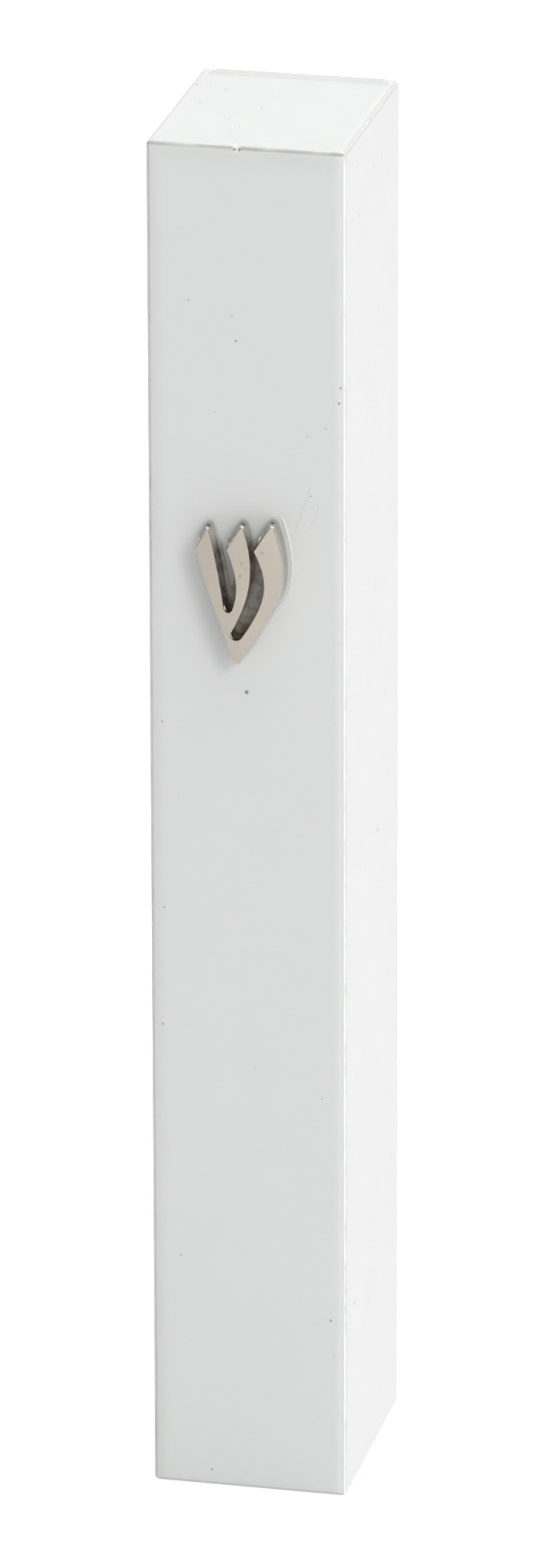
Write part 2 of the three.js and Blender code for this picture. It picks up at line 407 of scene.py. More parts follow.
whiteCase = {
    "colour": (0.719, 0.732, 0.722),
    "edgeShadeColour": (0.65, 0.66, 0.645),  # painted shade towards the edges of the front face
    "edgeLightColour": (0.96, 0.97, 0.955),
    "shadeAndScratchColour": (0.36, 0.35, 0.33),
    "darkLineWidth": 0.22,
    "darkLineAmount": 0.95,
    "topEdgeShadeAmount": 0.3,
    "speckColour": (0.16, 0.12, 0.09),
    "leftShadeDepth": 1.75,
    "topShadeDepth": 2.8,
    "edgeDepth": 1.2,
    "edgeWidth": 0.27,
    "edgeGlow": 0.3,  # painted light beside the right edge
    "edgeDip": 0.75,  # painted shade: a darker line just inside the painted bright edge
    "dipStart": (0.15, 0.23),
    "dipEnd": (0.26, 0.42),
    "dipColour": (0.56, 0.57, 0.56),
    "darkLineDrop": 0.17,
    "darkLineInset": 0.08,
    "topShadeInset": 0.1,
    "topShadeWidth": 0.34,
    "frontSpecks": [  # across and up the front face, and radius
        (-5.06, 110.9, 0.08), (-1.24, 109.7, 0.09), (-0.91, 107.5, 0.12), (-2.78, 101, 0.06), (8.3, 103.9, 0.12),
        (8.15, 102.5, 0.13), (6.99, 100.1, 0.09), (5.35, 99.3, 0.08), (5.68, 93.9, 0.08), (-0.06, 75.5, 0.22),
        (-7.6, 72.2, 0.1), (-7.52, 54.9, 0.1), (-7.72, 43.9, 0.12), (-6.21, 22, 0.08), (7.38, 16.9, 0.13),
        (-3.48, 1.5, 0.12), (0.61, 40.5, 0.06), (6.56, 38, 0.07),
    ],
    "sideSpecks": [  # back and up the right face
        (-8.34, 123.1, 0.1), (0.43, 120.4, 0.13), (3.74, 120, 0.1), (-5.63, 117.8, 0.12), (-7.49, 17.3, 0.2),
        (2.17, 58.6, 0.22),
    ],
    "topSpecks": [  # across and back on the top face
        (-8.14, 5.9, 0.16), (-6.7, 0.8, 0.13), (-5.35, 4.9, 0.13), (-1.15, 0.6, 0.11), (-3.22, -3.3, 0.08),
        (-1.85, -5.3, 0.09), (-2.16, -7.4, 0.08), (-1.33, -8.9, 0.09),
    ],
    "chipGrime": [(-0.98, 0.2), (-0.58, 0.17)],  # across, in the nick of the front top edge
    "chipGrimeInset": 0.12,
    "chipGrimeDrop": 0.34,
    "scratches": [  # hairlines on the front face, from and to, across and up
        ((5.6, 94.5), (4.1, 90.2), 0.06), ((6.4, 93), (5.5, 90.8), 0.04), ((7.4, 14.2), (7.9, 13.2), 0.05),
    ],
}


def speckPlaces():
    places = [(x, caseLow.y / mm, z, r) for x, z, r in whiteCase["frontSpecks"]]
    places += [(caseHigh.x / mm, y, z, r) for y, z, r in whiteCase["sideSpecks"]]
    places += [(x, y, caseHigh.z / mm, r) for x, y, r in whiteCase["topSpecks"]]
    inset, drop = whiteCase["chipGrimeInset"], whiteCase["chipGrimeDrop"]
    places += [(x, caseLow.y / mm + inset, caseHigh.z / mm - drop, r) for x, r in whiteCase["chipGrime"]]
    return places


def allMarks(tree, place, group, marks):  # the strongest of many masks at each point
    total = None
    for values in marks:
        mask = useGroup(tree, group, "Mask", Vector=place, **values)
        total = mask if total is None else math2(tree, "MAXIMUM", total, mask)
    return total


def fromSides(tree, place):  # how far in a point lies from the left, right, front and top of the case
    split = tree.nodes.new("ShaderNodeSeparateXYZ")
    tree.links.new(place, split.inputs[0])
    left = math2(tree, "SUBTRACT", split.outputs["X"], caseLow.x)
    right = math2(tree, "SUBTRACT", caseHigh.x, split.outputs["X"])
    front = math2(tree, "SUBTRACT", split.outputs["Y"], caseLow.y)
    top = math2(tree, "SUBTRACT", caseHigh.z, split.outputs["Z"])
    return left, right, front, top


def casePlastic():
    look = whiteCase
    material, tree, shader, place = startMaterial("whiteGloss")
    distance = useGroup(tree, "boxEdge", "Distance", Vector=place, Middle=caseMiddle, Half=caseHalf)
    left, right, front, top = fromSides(tree, place)
    # painted shade: the front face darker towards its left side, its top and its other edges, varied by random
    # blotches
    edgeShade = ramp(tree, left, 0.0, look["leftShadeDepth"] * mm, 1.0, 0.0)
    edgeShade = math2(tree, "MAXIMUM", edgeShade, ramp(tree, top, 0.0, look["topShadeDepth"] * mm, 0.75, 0.0))
    edgeShade = math2(tree, "MAXIMUM", edgeShade, ramp(tree, distance, 0.0, look["edgeDepth"] * mm, 0.3, 0.0))
    frontFace = ramp(tree, front, 0.1 * mm, 0.4 * mm, 1.0, 0.35)
    blotch = ramp(tree, noiseNode(tree, place, 150, 3), 0.3, 0.7, 0.75, 1.0)
    edgeShade = math2(tree, "MULTIPLY", math2(tree, "MULTIPLY", edgeShade, frontFace), blotch)
    colour = mixColour(tree, edgeShade, look["colour"], look["edgeShadeColour"])
    # painted light on the front face beside the right edge
    glow = ramp(tree, right, 0.1 * mm, look["edgeDepth"] * mm, look["edgeGlow"], 0.0)
    beside = math2(tree, "MULTIPLY", glow, frontFace)
    colour = mixColour(tree, beside, colour, look["edgeLightColour"])
    # painted highlight along the edges, faint near the top; the same mask makes the edges a little glossier
    edgeHighlightAndWear = math2(tree, "MULTIPLY", ramp(tree, distance, 0.02 * mm, look["edgeWidth"] * mm, 1.0, 0.0),
                 ramp(tree, noiseNode(tree, place, 700, 2), 0.25, 0.5, 0.6, 1.0))
    # painted shade: a darker line just inside the painted edge highlight
    opens, closes = ([edge * mm for edge in look[name]] for name in ("dipStart", "dipEnd"))
    dip = math2(tree, "MULTIPLY", ramp(tree, distance, *opens), ramp(tree, distance, *closes, look["edgeDip"], 0.0))
    colour = mixColour(tree, dip, colour, look["dipColour"])
    upright = ramp(tree, top, 0.35 * mm, 0.8 * mm, 0.12, 1.0)
    colour = mixColour(tree, math2(tree, "MULTIPLY", edgeHighlightAndWear, upright), colour, look["edgeLightColour"])
    # painted dark reflection: a dark line along the front top edge, broken up by noise
    lineHeight, lineFront = caseHigh.z - look["darkLineDrop"] * mm, caseLow.y + look["darkLineInset"] * mm
    darkEdgeLine = useGroup(tree, "hairline", "Mask", Vector=place, From=Vector((caseLow.x, lineFront, lineHeight)),
                     To=Vector((caseHigh.x, lineFront, lineHeight)), Width=look["darkLineWidth"] * mm)
    darkEdgeLine = math2(tree, "MULTIPLY", darkEdgeLine, ramp(tree, noiseNode(tree, place, 420, 4), 0.25, 0.7, 0.45, 1.0))
    colour = mixColour(tree, math2(tree, "MULTIPLY", darkEdgeLine, look["darkLineAmount"]), colour, look["shadeAndScratchColour"])
    # painted shade along the top right edge
    topShadeX, topShadeZ = caseHigh.x - look["topShadeInset"] * mm, caseHigh.z - look["topShadeInset"] * mm
    topEdgeShade = useGroup(tree, "hairline", "Mask", Vector=place, Width=look["topShadeWidth"] * mm,
                    From=Vector((topShadeX, caseLow.y, topShadeZ)), To=Vector((topShadeX, caseHigh.y, topShadeZ)))
    colour = mixColour(tree, math2(tree, "MULTIPLY", topEdgeShade, look["topEdgeShadeAmount"]), colour, look["shadeAndScratchColour"])
    specks = allMarks(tree, place, "speck", [
        {"Place": Vector((x, y, z)) * mm, "Radius": radius * mm} for x, y, z, radius in speckPlaces()
    ])
    dust = useGroup(tree, "dust", "Mask", Vector=place, Scale=260.0, Size=0.022, Amount=0.12)
    marks = math2(tree, "MAXIMUM", specks, math2(tree, "MULTIPLY", dust, 0.5))
    scratch = allMarks(tree, place, "hairline", [
        {"From": Vector((x0, caseLow.y / mm, z0)) * mm, "To": Vector((x1, caseLow.y / mm, z1)) * mm,
         "Width": width * mm}
        for (x0, z0), (x1, z1), width in look["scratches"]
    ])
    colour = mixColour(tree, math2(tree, "MULTIPLY", scratch, 0.22), colour, look["shadeAndScratchColour"])
    colour = mixColour(tree, math2(tree, "MULTIPLY", marks, 0.8), colour, look["speckColour"])
    tree.links.new(colour, shader.inputs["Base Color"])
    smear = ramp(tree, noiseNode(tree, place, 160, 5, 0.6), 0.3, 0.75, 0.3, 0.42)
    tree.links.new(math2(tree, "SUBTRACT", smear, math2(tree, "MULTIPLY", edgeHighlightAndWear, 0.15)), shader.inputs["Roughness"])
    shader.inputs["Subsurface Weight"].default_value = 0.5
    shader.inputs["Subsurface Radius"].default_value = (1.0, 1.0, 1.0)
    shader.inputs["Subsurface Scale"].default_value = 0.0009
    shader.inputs["IOR"].default_value = 1.49
    height = useGroup(tree, "grain", "Height", Vector=place, Coarse=120.0, Fine=2400.0, Share=0.25)
    height = math2(tree, "SUBTRACT", height, math2(tree, "MULTIPLY", scratch, 0.5))
    bumpFrom(tree, shader, height, 0.25, 0.00003)
    return material


# mesh helpers

def readyMesh(mesh, name, material, angle=35):
    bmesh.ops.remove_doubles(mesh, verts=mesh.verts, dist=1e-7)
    bmesh.ops.recalc_face_normals(mesh, faces=mesh.faces)
    data = bpy.data.meshes.new(name)
    mesh.to_mesh(data)
    mesh.free()
    data.materials.append(material)
    data.shade_smooth()
    data.set_sharp_from_angle(angle=math.radians(angle))
    piece = bpy.data.objects.new(name, data)
    bpy.context.scene.collection.objects.link(piece)
    return piece


def weightNormals(piece):
    modifier = piece.modifiers.new("weighted", "WEIGHTED_NORMAL")
    modifier.keep_sharp = True
    modifier.weight = 80


def handOver(piece, body, slot, *replaced):
    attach(piece, body)
    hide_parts(*replaced)
    print("made", piece.name)


def mergedCopy(node):  # a CAD node's solid with its flat faces whole again
    mesh = bmesh.new()
    mesh.from_mesh(nodes[node].data)
    bmesh.ops.remove_doubles(mesh, verts=mesh.verts, dist=1e-6)
    bmesh.ops.dissolve_limit(mesh, angle_limit=math.radians(0.5), verts=mesh.verts, edges=mesh.edges)
    return mesh


def sharpEdges(mesh, degrees=20):
    return [e for e in mesh.edges if len(e.link_faces) == 2 and e.calc_face_angle(0) > math.radians(degrees)]


def sliceAcross(mesh, axis, places):
    for place in places:
        point = Vector((0, 0, 0))
        point[axis] = place
        normal = Vector((0, 0, 0))
        normal[axis] = 1
        bmesh.ops.bisect_plane(mesh, geom=mesh.verts[:] + mesh.edges[:] + mesh.faces[:], dist=1e-7,
                               plane_co=point, plane_no=normal)


# case shell

caseMake = {
    "edgeRound": 0.05,
    "sliceStep": 0.8,  # spacing of the wander in the corner edges
    "wander": 0.075,
    "wanderLength": 1.9,
    "wanderSpread": 40,  # keeps the wander of the four corners apart
    "wanderZone": 0.36,
    "chipAcross": -0.76,  # nick in the front top edge
    "chipHalf": 0.46,
    "chipDepth": 0.3,
}


def chipShape(x):  # 1 at the middle of the nick, 0 at its ends
    t = abs(x / mm - caseMake["chipAcross"]) / caseMake["chipHalf"]
    return 0.0 if t >= 1 else (1 - t * t) * (0.75 + 0.25 * math.cos(t * 9))


def makeCaseShell():
    mesh = mergedCopy("case_shell")
    bmesh.ops.bevel(mesh, geom=sharpEdges(mesh), offset=caseMake["edgeRound"] * mm, offset_type="OFFSET",
                    segments=2, profile=0.5, affect="EDGES", material=-1, clamp_overlap=True)
    count = int((caseHigh.z - caseLow.z) / mm / caseMake["sliceStep"])
    sliceAcross(mesh, 2, [caseLow.z + (i + 0.5) * caseMake["sliceStep"] * mm for i in range(count)])
    chipCuts = [caseMake["chipAcross"] + caseMake["chipHalf"] * k / 4 for k in range(-4, 5)]
    sliceAcross(mesh, 0, [x * mm for x in chipCuts])
    zone, flat = caseMake["wanderZone"] * mm, 1e-6
    for v in mesh.verts:
        nearX = min(v.co.x - caseLow.x, caseHigh.x - v.co.x)
        nearY = min(v.co.y - caseLow.y, caseHigh.y - v.co.y)
        if nearX < zone and nearY < zone:  # the four upright edges
            column = caseMake["wanderSpread"]
            corner = Vector((math.copysign(column, v.co.x), math.copysign(column, v.co.y),
                             v.co.z / mm / caseMake["wanderLength"]))
            drift = noise.noise(corner) * caseMake["wander"] * mm
            if nearX > flat:
                v.co.x -= math.copysign(drift, v.co.x)
            if nearY > flat:
                v.co.y -= math.copysign(drift, v.co.y)
        nearTop = caseHigh.z - v.co.z
        nearFront = v.co.y - caseLow.y
        if nearTop < zone and nearFront < zone:
            dent = chipShape(v.co.x) * caseMake["chipDepth"] * mm
            if nearFront > flat:
                v.co.y += dent * 0.6
            if nearTop > flat:
                v.co.z -= dent
    piece = readyMesh(mesh, "case_shell_skin", casePlastic())
    weightNormals(piece)
    handOver(piece, "case", "white_gloss", "case_shell")


makeCaseShell()


# sliding back cover

coverMake = {
    "edgeRound": 0.06,
    "colour": (0.63, 0.641, 0.625),
    "dullColour": (0.57, 0.58, 0.562),
}


def coverPlastic():
    material, tree, shader, place = startMaterial("whiteSatin")
    cloud = ramp(tree, noiseNode(tree, place, 130, 4), 0.35, 0.75)
    colour = mixColour(tree, math2(tree, "MULTIPLY", cloud, 0.5), coverMake["colour"], coverMake["dullColour"])
    dust = useGroup(tree, "dust", "Mask", Vector=place, Scale=220.0, Size=0.03, Amount=0.15)
    colour = mixColour(tree, math2(tree, "MULTIPLY", dust, 0.6), colour, whiteCase["speckColour"])
    tree.links.new(colour, shader.inputs["Base Color"])
    height = useGroup(tree, "grain", "Height", Vector=place, Coarse=900.0, Fine=5200.0, Share=0.6)
    tree.links.new(ramp(tree, height, 0.3, 0.7, 0.46, 0.6), shader.inputs["Roughness"])
    shader.inputs["Subsurface Weight"].default_value = 0.4
    shader.inputs["Subsurface Radius"].default_value = (1.0, 1.0, 1.0)
    shader.inputs["Subsurface Scale"].default_value = 0.0007
    shader.inputs["IOR"].default_value = 1.49
    bumpFrom(tree, shader, height, 0.5, 0.00005)
    return material


def makeBackCover():
    mesh = mergedCopy("back_cover")
    bmesh.ops.bevel(mesh, geom=sharpEdges(mesh), offset=coverMake["edgeRound"] * mm, offset_type="OFFSET",
                    segments=2, profile=0.5, affect="EDGES", material=-1, clamp_overlap=True)
    piece = readyMesh(mesh, "back_cover_skin", coverPlastic())
    weightNormals(piece)
    handOver(piece, "cover", "white_satin", "back_cover")


makeBackCover()


# raised letter, drawn across and up from its foot

letterMake = {
    "outline": [  # a line has one place, a curve has its handles and then its end
        [(-0.2, 0.12)],
        [(0.03, -0.12), (0.25, 0.17)],
        [(3.5, 5.8)],
        [(4.3, 7.2), (4.2, 9.6), (3.32, 12.3)],
        [(3.15, 12.75), (2.9, 12.7)],
        [(1.48, 10.45)],
        [(2.95, 7.6), (2.65, 5.9), (0.4, 2.5)],
        [(0.05, 1.95), (-0.9, 2.2), (-0.58, 2.8)],
        [(1.2, 6), (1.7, 8.8), (0.58, 12.2)],
        [(0.48, 12.5), (0.3, 12.5)],
        [(-0.91, 10.45)],
        [(0.15, 7.7), (0, 6.4), (-0.42, 5.05)],
        [(-0.6, 4.55), (-1.1, 4.55), (-1.2, 5.1)],
        [(-1.5, 7.4), (-2, 10), (-2.48, 11.9)],
        [(-2.56, 12.2), (-2.72, 12.2)],
        [(-3.65, 10.4)],
        [(-2.3, 5.1), (-0.2, 0.12)],
    ],
    "armEnds": [((1.48, 10.45), (2.9, 12.7)), ((-0.91, 10.45), (0.3, 12.5)), ((-3.65, 10.4), (-2.72, 12.2))],
    "armFlare": 0.3,  # how far an arm's end leans out towards the case
    "footX": -0.38,
    "footZ": 78.8,
    "curveSteps": 14,
    "rimRound": 0.07,
    "faceColour": (0.58, 0.515, 0.445),
    "faceLitColour": (0.675, 0.62, 0.54),
    "sideColour": (0.56, 0.535, 0.485),
    "slotWallShade": (0.36, 0.33, 0.285),
    "sideDark": (0.06, 0.053, 0.04),
    "sideLight": (0.97, 0.96, 0.93),
    "endLine": 0.22,  # painted dark reflection along each arm's end, just behind the face
    "endLineDepth": 0.2,
    "glints": [  # across and up on the walls, how far behind the face, and radius
        (-1.1, 5.02, 0.3, 0.27), (-0.52, 2.52, 0.3, 0.27), (-2.64, 12.25, 0.35, 0.18), (0.4, 12.5, 0.4, 0.19),
        (3.02, 12.66, 0.35, 0.19), (3.2, 12.75, 0.9, 0.16), (-0.72, 10.85, 0.4, 0.2), (-0.4, 11.4, 0.35, 0.17),
        (-3.8, 10.85, 1.3, 0.3), (1.7, 11.2, 1.4, 0.28), (0.1, 12.2, 1.5, 0.2), (-0.55, 5.2, 1.2, 0.16),
        (-0.5, 6.6, 1.0, 0.14),
    ],
    "endShade": [  # dark reflections behind the arms' ends
        (-3.2, 11.3, 0.25, 0.4), (-0.45, 11.3, 1.2, 0.35), (1.9, 11.1, 0.3, 0.4), (2.5, 12.1, 0.5, 0.35),
        (-2.75, 12.2, 1.1, 0.35), (0.3, 12.5, 1.2, 0.35), (2.9, 12.7, 1.3, 0.3),
    ],
    "scuffColour": (0.3, 0.23, 0.16),
    "scuffs": [(0.37, 9.32, 0.2), (0.6, 9.55, 0.14), (0.32, 8.17, 0.22), (0.72, 8.8, 0.12), (2.19, 10.38, 0.22)],
}


def letterPlace(x, z, y):
    return Vector((letterMake["footX"] + x, y / mm, letterMake["footZ"] + z)) * mm


def curvedLoop(outline, steps):
    loop = [Vector(outline[0][0])]
    for segment in outline[1:]:
        start, end = loop[-1], Vector(segment[-1])
        handles = [Vector(place) for place in segment[:-1]]
        if not handles:
            loop.append(end)
            continue
        if len(handles) == 1:
            handles = [start.lerp(handles[0], 2 / 3), end.lerp(handles[0], 2 / 3)]
        loop += geometry.interpolate_bezier(start, *handles, end, steps)[1:]
    return loop[:-1]


def raisedPlate(outline, steps, front, back):  # a filled outline given a thickness
    mesh = bmesh.new()
    loop = [mesh.verts.new(letterPlace(point.x, point.y, front)) for point in curvedLoop(outline, steps)]
    face = mesh.faces.new(loop)
    walls = bmesh.ops.extrude_face_region(mesh, geom=[face], use_keep_orig=True)
    behind = [v for v in walls["geom"] if isinstance(v, bmesh.types.BMVert)]
    bmesh.ops.translate(mesh, verts=behind, vec=(0, back - front, 0))
    bmesh.ops.recalc_face_normals(mesh, faces=mesh.faces)
    return mesh


def leanArmEnds(mesh):
    for corner, tip in letterMake["armEnds"]:
        side = Vector(tip) - Vector(corner)
        move = Vector((-side.y, 0, side.x)).normalized() * letterMake["armFlare"] * mm
        for place in (corner, tip):
            foot = letterPlace(*place, letterHigh.y)
            for v in mesh.verts:
                if (v.co - foot).length < 1e-6:
                    v.co += move


def satinMetal():
    material, tree, shader, place = startMaterial("satinNickel")
    split = tree.nodes.new("ShaderNodeSeparateXYZ")
    tree.links.new(place, split.inputs[0])
    # painted light: the face lighter towards its right, where the light falls, with random tone over it
    cloud = ramp(tree, split.outputs["X"], letterLow.x, letterHigh.x, 0.1, 0.9)
    cloud = math2(tree, "MULTIPLY", cloud, ramp(tree, noiseNode(tree, place, 260, 3), 0.3, 0.7, 0.75, 1.1))
    colour = mixColour(tree, cloud, letterMake["faceColour"], letterMake["faceLitColour"])
    scuffs = allMarks(tree, place, "speck", [
        {"Place": letterPlace(x, z, letterLow.y), "Radius": radius * mm} for x, z, radius in letterMake["scuffs"]
    ])
    rub = math2(tree, "MULTIPLY", scuffs, ramp(tree, noiseNode(tree, place, 5200, 3), 0.4, 0.6))
    colour = mixColour(tree, math2(tree, "MULTIPLY", rub, 0.6), colour, letterMake["scuffColour"])
    tree.links.new(colour, shader.inputs["Base Color"])
    shader.inputs["Metallic"].default_value = 1
    height = useGroup(tree, "grain", "Height", Vector=place, Coarse=700.0, Fine=9000.0, Share=0.5)
    tree.links.new(ramp(tree, height, 0.3, 0.7, 0.3, 0.42), shader.inputs["Roughness"])
    bumpFrom(tree, shader, height, 0.3, 0.00001)
    return material


def polishedMetal():
    look = letterMake
    material, tree, shader, place = startMaterial("polishedNickel")
    # painted shade: the walls inside the slots darker, with dark patches standing in for dark reflections
    slot = useGroup(tree, "slotZone", "Mask", Vector=place, Foot=letterPlace(0.25, 2, 0), Height=8.2 * mm)
    slotDarkPatch = ramp(tree, noiseNode(tree, place, 1100, 2, 0.5), 0.47, 0.55)
    colour = mixColour(tree, slot, look["sideColour"], look["slotWallShade"])
    slotDarkPatch = math2(tree, "MULTIPLY", math2(tree, "MULTIPLY", slotDarkPatch, slot), 0.6)
    colour = mixColour(tree, slotDarkPatch, colour, look["sideDark"])

    def wallMarks(marks):
        return allMarks(tree, place, "speck", [
            {"Place": letterPlace(x, z, letterLow.y + depth * mm), "Radius": radius * mm}
            for x, z, depth, radius in marks
        ])

    # painted dark reflections: lines along the arms' ends and spots behind them
    lineDepth = letterLow.y + look["endLineDepth"] * mm
    rims = allMarks(tree, place, "hairline", [
        {"From": letterPlace(*corner, lineDepth), "To": letterPlace(*tip, lineDepth), "Width": look["endLine"] * mm}
        for corner, tip in look["armEnds"]
    ])
    shade = math2(tree, "MAXIMUM", wallMarks(look["endShade"]), rims)
    colour = mixColour(tree, math2(tree, "MULTIPLY", shade, 0.9), colour, look["sideDark"])
    # painted glints: white spots on the walls, which also glow
    glint = wallMarks(look["glints"])
    colour = mixColour(tree, glint, colour, look["sideLight"])
    glow = mixColour(tree, glint, (0, 0, 0), look["sideLight"])
    tree.links.new(glow, shader.inputs["Emission Color"])
    shader.inputs["Emission Strength"].default_value = 0.7
    tree.links.new(colour, shader.inputs["Base Color"])
    shader.inputs["Metallic"].default_value = 1
    height = useGroup(tree, "grain", "Height", Vector=place, Coarse=900.0, Fine=4200.0, Share=0.35)
    tree.links.new(ramp(tree, height, 0.35, 0.65, 0.12, 0.22), shader.inputs["Roughness"])
    bumpFrom(tree, shader, height, 0.3, 0.00006)
    return material


def makeLetter():
    mesh = raisedPlate(letterMake["outline"], letterMake["curveSteps"], letterLow.y, letterHigh.y)
    leanArmEnds(mesh)
    bmesh.ops.bevel(mesh, geom=sharpEdges(mesh, 30), offset=letterMake["rimRound"] * mm, offset_type="OFFSET",
                    segments=3, profile=0.5, affect="EDGES", material=-1, clamp_overlap=True)
    for face in mesh.faces:
        face.normal_update()
        face.material_index = 0 if face.normal.y < -0.98 else 1
    piece = readyMesh(mesh, "shin_letter_metal", satinMetal(), 40)
    piece.data.materials.append(polishedMetal())
    weightNormals(piece)
    handOver(piece, "case", "satin_nickel", "shin_letter")


makeLetter()


# clear glue under the letter, with a bead squeezed out round it

glueMake = {
    "outline": [
        [(-0.45, 0.1)],
        [(0.03, -0.55), (0.5, 0.05)],
        [(3.78, 5.75)],
        [(4.6, 7.1), (4.5, 9.8), (3.6, 12.4)],
        [(3.35, 13.15), (2.55, 13.1)],
        [(1.1, 11.1)],
        [(0.85, 12.3)],
        [(0.7, 13), (-0.05, 12.9)],
        [(-1.35, 10.7)],
        [(-0.6, 9), (-0.6, 7.5), (-0.85, 6.5)],
        [(-1, 6.1), (-1.15, 6.6)],
        [(-1.4, 8.5), (-1.9, 10.5), (-2.2, 12)],
        [(-2.4, 12.8), (-3.2, 12.6)],
        [(-4.25, 10.6)],
        [(-2.6, 5), (-0.45, 0.1)],
    ],
    "bead": [  # runs up outside the right arm
        [(3.15, 4.6)],
        [(3.9, 5.75)],
        [(4.68, 7.1), (4.58, 9.8), (3.7, 12.5)],
        [(3.6, 12.8), (3.45, 13.05)],
    ],
    "beadRadius": 0.085,
    "clearColour": (0.76, 0.77, 0.755),
    "beadColour": (0.96, 0.965, 0.95),
    "slotShadeColour": (0.5, 0.455, 0.39),
    "slotShadeDark": (0.32, 0.285, 0.235),
    "curveSteps": 10,
    "edgeRound": 0.06,
    "filmShown": (0.015, 0.05),  # opacity seen straight on and at a slant
    "beadShown": (0.6, 0.95),
}


def glueLook(name, clearColour, least, most):
    material, tree, shader, place = startMaterial(name)
    slot = useGroup(tree, "slotZone", "Mask", Vector=place, Foot=letterPlace(0.05, 2.2, 0), Height=8.4 * mm)
    # painted shade: the glue in the slots is dark and nearly opaque, with darker bands
    bands = ramp(tree, noiseNode(tree, place, 1300, 3), 0.4, 0.65)
    dark = mixColour(tree, bands, glueMake["slotShadeColour"], glueMake["slotShadeDark"])
    tree.links.new(mixColour(tree, slot, clearColour, dark), shader.inputs["Base Color"])
    rim = tree.nodes.new("ShaderNodeLayerWeight")
    rim.inputs["Blend"].default_value = 0.35
    clear = ramp(tree, rim.outputs["Facing"], 0.0, 0.8, least, most)
    tree.links.new(math2(tree, "MAXIMUM", clear, math2(tree, "MULTIPLY", slot, 0.95)), shader.inputs["Alpha"])
    height = useGroup(tree, "grain", "Height", Vector=place, Coarse=600.0, Fine=2500.0, Share=0.3)
    tree.links.new(ramp(tree, height, 0.35, 0.65, 0.06, 0.16), shader.inputs["Roughness"])
    bumpFrom(tree, shader, height, 0.4, 0.00006)
    return material


def glueBead():  # a flat curve with a round section, made a mesh
    data = bpy.data.curves.new("bead", "CURVE")
    data.dimensions = "3D"
    data.bevel_depth = glueMake["beadRadius"] * mm
    data.bevel_resolution = 3
    data.use_fill_caps = True
    spline = data.splines.new("POLY")
    path = curvedLoop(glueMake["bead"] + [glueMake["bead"][-1]], glueMake["curveSteps"])
    spline.points.add(len(path) - 1)
    for i, (point, place) in enumerate(zip(spline.points, path)):
        point.co = (*letterPlace(place.x, place.y, caseLow.y), 1)
        share = i / (len(path) - 1)
        swell = 0.35 + 0.9 * math.sin(math.pi * min(1, share * 1.15))
        point.radius = swell * (0.85 + 0.3 * noise.noise(place.to_3d() * 2))
    carrier = bpy.data.objects.new("bead", data)
    bead = bpy.data.meshes.new_from_object(carrier)
    bpy.data.objects.remove(carrier)
    for polygon in bead.polygons:
        polygon.material_index = 1  # the film is 0
    return bead


def makeGlue():
    low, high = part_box("letter_adhesive")
    mesh = raisedPlate(glueMake["outline"], glueMake["curveSteps"], low.y, high.y)
    bmesh.ops.bevel(mesh, geom=sharpEdges(mesh, 60), offset=glueMake["edgeRound"] * mm, offset_type="OFFSET",
                    segments=3, profile=0.5, affect="EDGES", material=-1, clamp_overlap=True)
    mesh.from_mesh(glueBead())
    film = glueLook("clearGlue", glueMake["clearColour"], *glueMake["filmShown"])
    piece = readyMesh(mesh, "letter_adhesive_bead", film, 60)
    piece.data.materials.append(glueLook("glueBead", glueMake["beadColour"], *glueMake["beadShown"]))
    handOver(piece, "case", "clear_glue", "letter_adhesive")


makeGlue()


# rolled parchment and the film round it

scrollMake = {
    "innerRadius": 1.9,
    "outerRadius": 4.7,
    "thickness": 0.3,
    "turns": 4.6,
    "startAngle": 0.4,
    "steps": 184,
    "rows": 24,
    "telescope": 0.9,  # how far the inner turns sink in at the ends
    "creamColour": (0.66, 0.55, 0.38),
    "paleColour": (0.76, 0.68, 0.52),
    "poreColour": (0.34, 0.25, 0.14),
}

sleeveMake = {
    "innerRadius": 5,
    "pitch": 0.3,
    "thickness": 0.1,
    "turns": 1.3,
    "startAngle": 2.2,
    "steps": 60,
    "unevenness": 0.1,
    "unevenLength": 9,
    "filmColour": (0.86, 0.89, 0.9),
    "hazeColour": (0.95, 0.96, 0.97),
}


def rolledSheet(look, middle, low, high, pitch, rows, sink=0.0):
    mesh = bmesh.new()
    steps = look["steps"]
    line = []
    for i in range(steps + 1):
        turn = i / steps * look["turns"]
        angle = look["startAngle"] + turn * 2 * math.pi
        radius = (look["innerRadius"] + pitch * turn) * mm
        line.append(mesh.verts.new((middle.x + radius * math.cos(angle), middle.y + radius * math.sin(angle), low)))
    edges = [mesh.edges.new(pair) for pair in zip(line, line[1:])]
    walls = bmesh.ops.extrude_edge_only(mesh, edges=edges)
    raised = [v for v in walls["geom"] if isinstance(v, bmesh.types.BMVert)]
    bmesh.ops.translate(mesh, verts=raised, vec=(0, 0, high - low))
    sliceAcross(mesh, 2, [low + (high - low) * (k + 1) / (rows + 1) for k in range(rows)])
    for v in mesh.verts:
        out = Vector((v.co.x - middle.x, v.co.y - middle.y))
        depth = 1 - (out.length / mm - look["innerRadius"]) / max(1e-6, pitch * look["turns"])
        along = (v.co.z - low) / (high - low) * 2 - 1
        v.co.z -= along * abs(along) ** 3 * depth * sink * mm
    return mesh


